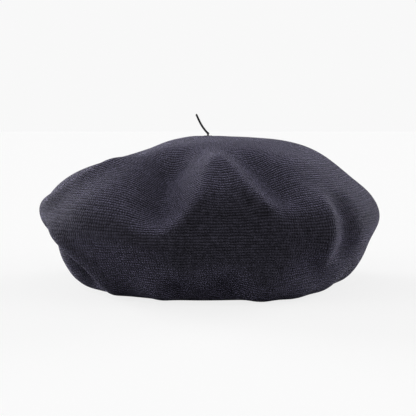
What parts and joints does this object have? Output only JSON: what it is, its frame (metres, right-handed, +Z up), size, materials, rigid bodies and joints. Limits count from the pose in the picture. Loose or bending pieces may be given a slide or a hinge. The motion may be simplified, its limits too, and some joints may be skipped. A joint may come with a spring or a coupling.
{
  "type": "beret",
  "caption": "Soft one-piece knitted beret with draped crown, gathered elastic hem, ribbon sweatband, inner labels and a short bendable stalk on the crown.",
  "frame": {"origin": "bottom centre of the hat's box, on the plane that the hem rests on", "axes": "+Z up through the crown, the front of the hat faces -Y, +X to its right as seen from the front"},
  "size_m": [0.28, 0.2756, 0.1398],
  "materials": {
    "knit": "fine wool knit, soft and slightly fuzzy",
    "thread": "sewing thread",
    "elastic": "braided elastic tape",
    "grosgrain": "ribbed grosgrain ribbon",
    "label_cloth": "woven satin label, blank",
    "tag_cloth": "printed-label satin, blank",
    "felt": "wool felt",
    "lace": "waxed round lace, smooth"
  },
  "bodies": {
    "hat": {"knit_body": "knit", "closing_seam_thread": "thread", "hem_elastic": "elastic", "elastic_zigzag_thread": "thread", "elastic_bartack": "thread", "sweatband": "grosgrain", "sweatband_stitching": "thread", "maker_label": "label_cloth", "maker_label_stitching": "thread", "care_label_stitch": "thread", "size_tab_stitch": "thread", "crown_backing": "felt", "backing_stitching": "thread", "eyelet_thread": "thread", "stalk_knot": "lace"},
    "stalk_root": {"stalk_root": "lace"},
    "stalk": {"stalk": "lace"},
    "care_label": {"care_label": "tag_cloth"},
    "size_tab": {"size_tab": "tag_cloth"}
  },
  "joints": [
    {"name": "stalk_nod", "type": "hinge", "parent": "hat", "child": "stalk_root", "pos_m": [-0.00252, -0.00434, 0.124], "axis": [1, 0, 0], "range_deg": [-78, 78], "stiffness_Nm_per_rad": 0.0005},
    {"name": "stalk_sway", "type": "hinge", "parent": "stalk_root", "child": "stalk", "pos_m": [-0.00252, -0.00434, 0.124], "axis": [0, 1, 0], "range_deg": [-40, 112], "stiffness_Nm_per_rad": 0.0005},
    {"name": "care_label_flip", "type": "hinge", "parent": "hat", "child": "care_label", "pos_m": [0.04063, 0.0704, 0.0256], "axis": [-0.866, 0.5, 0], "range_deg": [0, 170]},
    {"name": "size_tab_flip", "type": "hinge", "parent": "hat", "child": "size_tab", "pos_m": [-0.03632, 0.07529, 0.0256], "axis": [-0.9205, -0.3907, 0], "range_deg": [0, 170]}
  ]
}
